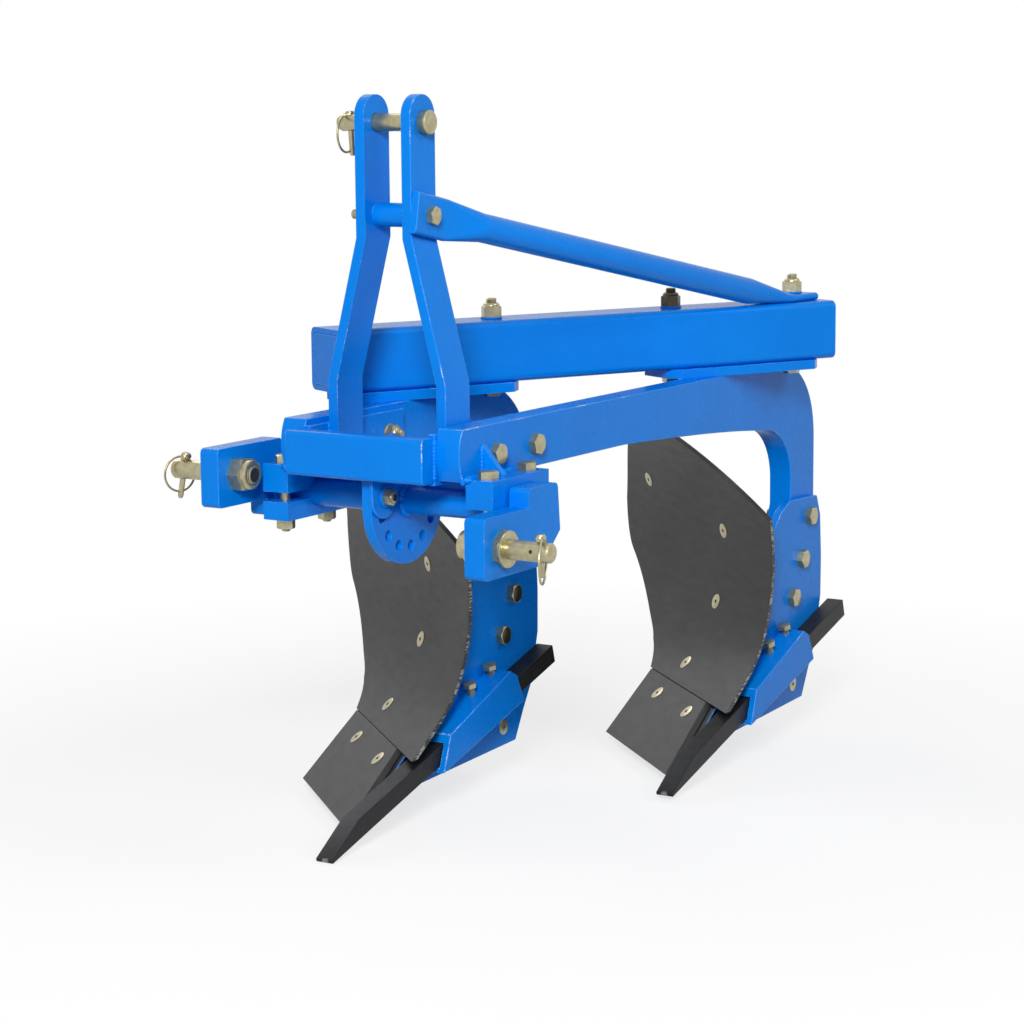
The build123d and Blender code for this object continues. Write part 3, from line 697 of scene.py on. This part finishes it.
# ---------------------------------------------------------------- headstock fasteners
def headstock_bolts():
    """The bolts through beams and side plates, and those of the shaft's clamps."""
    clamp_foot = height_of("clamp_lower_left", False)
    for side, word in SIDES:
        p = zinc_piece("beam_bolts_" + word)
        for x, z in BEAM_BOLTS:
            head(p, facing((x, side * BEAM_FACE, z), Y * side, 0.26), 18)
            nut(p, facing((x, side * PLATE_INNER, z), -Y * side, 0.5), 16)
        p.done()
        p = zinc_piece("clamp_bolts_" + word)
        y = side * CLAMP_BOLTS_Y
        for x in CLAMP_BOLTS_X:
            head(p, facing((x, y, CLAMP_TOP), Z, 0.75 + x), 17)
            under = facing((x, y, clamp_foot), -Z, 0.2)
            p.hexagon(under, 24, 0, 15)
            p.thread(under, 13, 15, 19)
            # the shank, which shows between the clamp's halves
            p.lathe(facing((x, y, clamp_foot + 20), Z), [(7.8, 0), (7.8, 40)], 20)
        p.done()


def tube_bolts():
    """The bolts through the pads and the tube, heads down; one nut is a dark locking one."""
    tube_top, pad_foot = height_of("main_tube"), height_of("pad_front", False)
    p = zinc_piece("tube_bolts")
    along = STEP["rear"].normalized()
    for name in BODIES:
        for side in (-1, 1):
            spot = PAD_MIDDLE + STEP[name] + along * (side * PAD_BOLT_REACH)
            top = TAB_TOP if name == "rear" and side == 1 else tube_top
            cap = SHADE_AND_DARK_NUT if name == "rear" and side == -1 else PALE
            nut(p, facing((spot.x, spot.y, top), Z, 0.3 * side), 20, 7, PAINTED, cap)
            head(p, facing((spot.x, spot.y, pad_foot), -Z, 0.5), 16)
    p.done()


def spacer_bolt():
    """The bolt through the brace's tab, both masts and the spacer."""
    p = zinc_piece("spacer_bolt")
    head(p, facing((MAST_X, 59.4, SPACER_Z), Y, 0.2), 16)
    far = facing((MAST_X, -47.2, SPACER_Z), -Y, 0.1)
    p.hexagon(far, 22, 0, 13)
    p.thread(far, 14, 13, 26)
    p.done()


def link_pins():
    """The lower link pins: a hexagon collar and a pin outside, a locked nut inside."""
    for side, word in SIDES:
        p = zinc_piece("link_pin_set_" + word)
        inner, z = CRANK_INNER[word], LINK_PIN_Z[word]
        outer = inner + CRANK_THICK
        # outside the crank: the collar and the pin; the left one has a dimple, drawn as a
        # near-black disc of painted shade
        out = facing((LINK_PIN_X, side * outer, z), Y * side)
        p.hexagon(out, 46, 0, 7.5)
        washer(p, out, 25.8, 5.5, base=7)
        p.lathe(out, [(14, -31), (14, 11), (14, 77.5), (12.3, 79.8)], 40)
        if word == "left":
            dimple = facing((LINK_PIN_X + 12.2, outer + 54, z + 2), X)
            p.lathe(dimple, [(2.6, 0), (2.6, 2.0)], 16, HOLLOW_SHADE)
        # inside it: the nut, its dome and the end of the bolt
        back = facing((LINK_PIN_X, side * inner, z), -Y * side, 0.5)
        p.hexagon(back, 44, 0, 21)
        dome = [(21, 20), (21.4, 25), (20.6, 28.5), (18.4, 30), (15.8, 30), (15.3, 28.5)]
        p.lathe(back, dome, 40)
        p.lathe(back, [(15.2, 27.5), (13, 29), (13, 31), (11.8, 32), (10.4, 32)], 40)
        # a near-black disc on the bolt's end, as painted shade in its hollow
        p.lathe(back, [(10.3, 31.8), (10.2, 32.05)], 32, HOLLOW_SHADE)
        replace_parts(p.done(), "link_pin_" + word)
    linch_pin(
        "linch_pin_left", top=(67, 294, 513), tip=(66, 295, 455),
        centre=(68, 297.5, 478), turn=radians(22), radius=31,
    )
    linch_pin(
        "linch_pin_right", top=(67, -308, 585), tip=(66, -322, 519),
        centre=(69, -319, 555), turn=radians(-19.5), radius=25.5,
    )


def top_pin():
    """The top link pin: a plain head, a long pin with a blunt nose, and its linch pin."""
    p = zinc_piece("top_pin_set")
    knob = [(15.6, -13.7), (17, -12.2), (17, -1.2), (16.2, 0)]
    shank = [(12.7, 0), (12.7, 134), (10.2, 139.5)]
    p.lathe(facing((MAST_X, 47.3, TOP_PIN_Z), -Y), knob + shank, 40)
    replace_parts(p.done(), "top_link_pin")
    linch_pin(
        "linch_pin_top", top=(-31.5, -76, 1075), tip=(-31, -72, 1014),
        centre=(-25, -78, 1045), turn=radians(6), radius=26,
    )


def lock_bolt():
    """The bolt that locks the sector plate to its lug."""
    p = zinc_piece("lock_bolt_set")
    near = facing((LOCK_X, 11.8, LOCK_Z), Y, 0.25)
    washer(p, near, 15, 3.4, PAINTED)
    p.hexagon(near, 22, 3.4, 13.5)
    p.lathe(near, [(7.4, 13), (7.4, 16.4), (6.2, 17.2), (5.0, 17.2)], 28)
    # the bolt's end face in the dark zinc: painted shade in its centre dimple
    p.lathe(near, [(4.9, 17.1), (4.8, 17.3)], 24, SHADE_AND_DARK_NUT)
    p.lathe(near, [(6.9, -21.5), (6.9, 1)], 24)
    p.hexagon(facing((LOCK_X, -10, LOCK_Z), -Y, 0.25), 22, 0, 10)
    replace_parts(p.done(), "lock_bolt")


# ---------------------------------------------------------------- welds
def painted_piece(name):
    """A piece in the plough's own paint."""
    return Piece(name, [BLUE], "blue_paint")


def shaft_bead(piece, y, reach, radius):
    """A bead round the cross shaft, at a place along it."""
    ring = circle((SHAFT_X, y, SHAFT_Z), X, Z, reach, 26)
    piece.bead(ring + [(SHAFT_X + reach, y, SHAFT_Z)], radius)


def side_welds(side, word):
    """The beads on one side of the headstock."""
    p = painted_piece("welds_" + word)
    wall, mast = side * BEAM_WELD, side * 99
    # the gusset, to the beam and to the clamp
    for x in (-10.5, -21.5):
        p.bead([(x, wall, CLAMP_TOP + 42), (x, wall, CLAMP_TOP)], 3.2)
        p.bead([(x, wall, CLAMP_TOP), (x, side * 182, CLAMP_TOP)], 3.0)
    # the clamp, to the beam and round its front corner
    p.bead([(-116, wall, CLAMP_TOP), (31, wall, CLAMP_TOP)], 3.6)
    p.bead([(33, side * 149, 571), (33.5, side * 155, 573.5), (32.5, side * 162, 573)], 4.4)
    p.bead([(31, side * 150, 570), (40, side * 151, 570)], 4.0)
    # the crossmember's end
    p.bead([(47.6, side * 111.5, 629), (47.6, side * 111.5, 571)], 3.4)
    # the mast's foot, over the side plate and down its front and back
    foot = height_of("side_plate_left")
    p.bead([(-61, side * 99.5, foot), (-2, side * 99.5, foot)], 4.2)
    for x in (0.6, -63.6):
        p.bead([(x, mast, foot), (x, mast, 578)], 3.6)
    shaft_bead(p, side * CRANK_INNER[word], 20.6, 4.0)
    p.done()


def shade_web(side, word):
    """A thin web, put between the crossmember and the shaft to close the gap there, so that the
    gap shows shade rather than the floor beyond.
    """
    p = painted_piece("shade_web_" + word)
    inner, outer = sorted((side * 30, side * 151))
    p.block((-56, inner, 534), (-44, outer, 571.5))
    p.done()


def middle_welds():
    """The beads round the sector plate and on its lug."""
    p = painted_piece("welds_middle")
    for y in (-11, 6.5):
        shaft_bead(p, y, 20.4, 5.0)
    p.bead([(47, 5.2, 566), (24, 5.2, 569), (8, 5.2, 569)], 3.2)
    p.done()


def hood_weld(which):
    """The bead along the hood's top, against the cheek."""
    p = painted_piece("welds_body_" + which)
    step = STEP[which]
    start = Vector((HOOD_FRONT, CHEEK_FACE, hood_height(which)))
    p.bead([start + step, start - BAR_AHEAD * HOOD_WELD + step], 3.6)
    p.done()


# ---------------------------------------------------------------- body fasteners
def body_surface(name):
    """A tree of a node's finished faces, for rays."""
    return BVHTree.FromObject(frame["nodes"][name], bpy.context.evaluated_depsgraph_get())


def hood_height(which):
    """The height of the hood's top beside the cheek, at its front edge."""
    tree = body_surface("bar_hood_" + which)
    hit = tree.ray_cast(at(*(Vector((HOOD_FRONT, -90, BEYOND)) + STEP[which])), -Z)[0]
    return (hit.z - DATUM.z) / MM


def on_face(tree, step, along, above):
    """The working face's point and outward direction, at a place along and above the edge."""
    start = WING + step + EDGE * along + Z * above - BACK * BEYOND
    hit, normal, _, _ = tree.ray_cast(at(*start), BACK)
    if normal.dot(BACK) > 0:
        normal = -normal
    return (hit - DATUM) / MM, normal


def plough_bolts(which):
    """The flush bolts of a mouldboard and its share, and the one in the cheek's heel."""
    step = STEP[which]
    p = zinc_piece("plough_bolts_" + which)
    for sheet, places in (("mouldboard_", BOARD_BOLTS), ("share_", SHARE_BOLTS)):
        tree = body_surface(sheet + which)
        for along, above in places:
            spot, out = on_face(tree, step, along, above)
            countersunk(p, facing(spot, out, 0.5))
    x, z = CHEEK_BOLT
    countersunk(p, facing(Vector((x, CHEEK_FACE, z)) + step, Y, 0.6))
    p.done()


def leg_bolts(which):
    """The three bolts that hold the frog to its leg; the middle one also holds the stay."""
    p = zinc_piece("leg_bolts_" + which)
    step = STEP[which]
    # the front body's head faces are drawn in the dark zinc as painted shade
    face = SHADE_AND_DARK_NUT if which == "front" else PALE
    for x, z, far in LEG_BOLTS:
        head(p, facing(Vector((x, CHEEK_FACE, z)) + step, Y, 0.4 + z), 18, face)
        nut(p, facing(Vector((x, far, z)) + step, -Y, 0.2), 16)
    p.done()


def set_screws(which):
    """The two screws that clamp the bar point, standing in the hood's top."""
    p = zinc_piece("set_screws_" + which)
    for x, z in SET_SCREWS:
        m = facing(Vector((x, SET_SCREW_Y, z)) + STEP[which], BAR_UP, 0.5)
        p.lathe(m, [(8.5, -6), (8.5, 0.5), (7.6, 1.5)], 24)
        p.thread(m, 12, 0, 24)
        p.hexagon(m, 20, 23.5, 31)
    p.done()


def bar_marks(which):
    """Punched dimples in the rear end of the bar's top face, drawn as near-black discs of
    painted shade.
    """
    p = Piece("bar_marks_" + which, METALS, "point_steel", body="bar_point_" + which)
    low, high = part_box("bar_point_" + which)
    corner = (Vector((low.x, (low.y + high.y) / 2, high.z)) - DATUM) / MM
    for i in range(MARKS):
        place = corner + BAR_AHEAD * (FIRST_MARK + MARK_PITCH * i) + BAR_UP * 0.1
        p.lathe(facing(place, BAR_UP), [(4.6, -0.2), (4.6, 0.1)], 20, HOLLOW_SHADE)
    p.done()


# ---------------------------------------------------------------- camera, light, stage
CAMERA_PLACE = (3156.5, 2165.3, 1118.7)   # datum millimetres
CAMERA_TURN, CAMERA_DIP, CAMERA_ROLL = radians(31.81), radians(9.02), radians(-0.49)
CAMERA_LENS, CAMERA_SENSOR = 95.78, 36
LAMP_AIM = Vector((0, 0, 0.5))
LAMPS = (                        # name, place and width in metres, power in watts
    ("key", (4.3, 2.2, 2.7), 1.2, 212),
    ("side", (-0.5, 3.8, 3.7), 1.8, 48),
    ("back", (-2.0, -3.8, 3.6), 2.4, 42),
)
WORLD_LIGHT = 0.18               # what the unseen world gives the plough
FLOOR_GLOW = 0.5                 # what seen rays add to the floor
FADE_FROM, FADE_TO = 0.7, 1.7    # where the floor goes over to white, in metres
FLOOR_LEVEL = -0.0005


def camera():
    """The photograph's view: from the plough's left front, a little above."""
    turn, dip, roll = CAMERA_TURN, CAMERA_DIP, CAMERA_ROLL
    ahead = Vector((-cos(turn) * cos(dip), -sin(turn) * cos(dip), -sin(dip)))
    level = Vector((-sin(turn), cos(turn), 0))
    upright = level.cross(ahead)
    right = level * cos(roll) + upright * sin(roll)
    up = upright * cos(roll) - level * sin(roll)
    data = bpy.data.cameras.new("camera")
    data.sensor_width = CAMERA_SENSOR
    data.lens = CAMERA_LENS
    eye = bpy.data.objects.new("camera", data)
    turned_eye = Matrix((right, up, -ahead)).transposed().to_4x4()
    eye.matrix_world = Matrix.Translation(at(*CAMERA_PLACE)) @ turned_eye
    bpy.context.scene.collection.objects.link(eye)
    bpy.context.scene.camera = eye


def lamp(name, place, width, power):
    """A round soft lamp that is aimed at the plough's middle."""
    data = bpy.data.lights.new(name, "AREA")
    data.shape = "DISK"
    data.size = width
    data.energy = power
    made = bpy.data.objects.new(name, data)
    made.location = place
    made.rotation_euler = (LAMP_AIM - Vector(place)).to_track_quat("-Z", "Y").to_euler()
    bpy.context.scene.collection.objects.link(made)


def seen_rays(nodes, links):
    """1 for rays that show the background: to the camera, in gloss or through glass."""
    path = nodes.new("ShaderNodeLightPath")
    seen = path.outputs["Is Camera Ray"]
    for name in ("Is Glossy Ray", "Is Transmission Ray"):
        either = nodes.new("ShaderNodeMath")
        either.operation = "MAXIMUM"
        links.new(seen, either.inputs[0])
        links.new(path.outputs[name], either.inputs[1])
        seen = either.outputs[0]
    return seen


def white_floor():
    """A pale matt floor with the plough's shadow, which runs into the white around it."""
    s = Shade("floor")
    s.colour(s.ramp(s.noise(2, 2), (0.3, grey(0.49)), (0.7, grey(0.51))))
    s.set(Roughness=0.9)
    nodes, links = s.tree.nodes, s.tree.links
    seen = seen_rays(nodes, links)
    s.set(Emission_Color=(1, 1, 1, 1))
    s.link(s.math("MULTIPLY", seen, FLOOR_GLOW), s.shader.inputs["Emission Strength"])
    fade = s.between(s.distance(s.place, (0, 0, 0)), FADE_FROM, FADE_TO)
    cover = s.math("MULTIPLY", seen, s.spread(fade, 0.45, 1.0))
    white = s.node("ShaderNodeEmission", Strength=1.0)
    mix = s.node("ShaderNodeMixShader")
    s.link(cover, mix.inputs["Fac"])
    s.link(s.shader.outputs["BSDF"], mix.inputs[1])
    s.link(white.outputs["Emission"], mix.inputs[2])
    s.link(mix.outputs["Shader"], nodes["Material Output"].inputs["Surface"])
    return s.mat


def white_world():
    """A world that is white where it is seen, and gives the plough a dimmer light."""
    world = bpy.data.worlds.new("studio")
    bpy.context.scene.world = world
    world.use_nodes = True
    nodes, links = world.node_tree.nodes, world.node_tree.links
    nodes.clear()
    mix = nodes.new("ShaderNodeMixShader")
    out = nodes.new("ShaderNodeOutputWorld")
    links.new(seen_rays(nodes, links), mix.inputs["Fac"])
    for socket, strength in ((mix.inputs[1], WORLD_LIGHT), (mix.inputs[2], 1.0)):
        lit = nodes.new("ShaderNodeBackground")
        lit.inputs["Strength"].default_value = strength
        lit.inputs["Color"].default_value = (1, 1, 1, 1)
        links.new(lit.outputs[0], socket)
    links.new(mix.outputs[0], out.inputs["Surface"])


def stage():
    """A pale floor, a white world behind, and soft lamps."""
    bpy.ops.mesh.primitive_plane_add(size=16, location=(0, 0, FLOOR_LEVEL))
    floor = bpy.context.object
    floor.name = "floor"
    floor.data.materials.append(white_floor())
    white_world()
    for values in LAMPS:
        lamp(*values)


# ---------------------------------------------------------------- the whole scene
finish_solids()
headstock_bolts()
tube_bolts()
spacer_bolt()
link_pins()
top_pin()
lock_bolt()
for side, word in SIDES:
    side_welds(side, word)
    shade_web(side, word)
middle_welds()
for which in BODIES:
    hood_weld(which)
for which in BODIES:
    plough_bolts(which)
    leg_bolts(which)
    set_screws(which)
    bar_marks(which)

stage()
camera()
bpy.context.scene.view_settings.view_transform = "Standard"
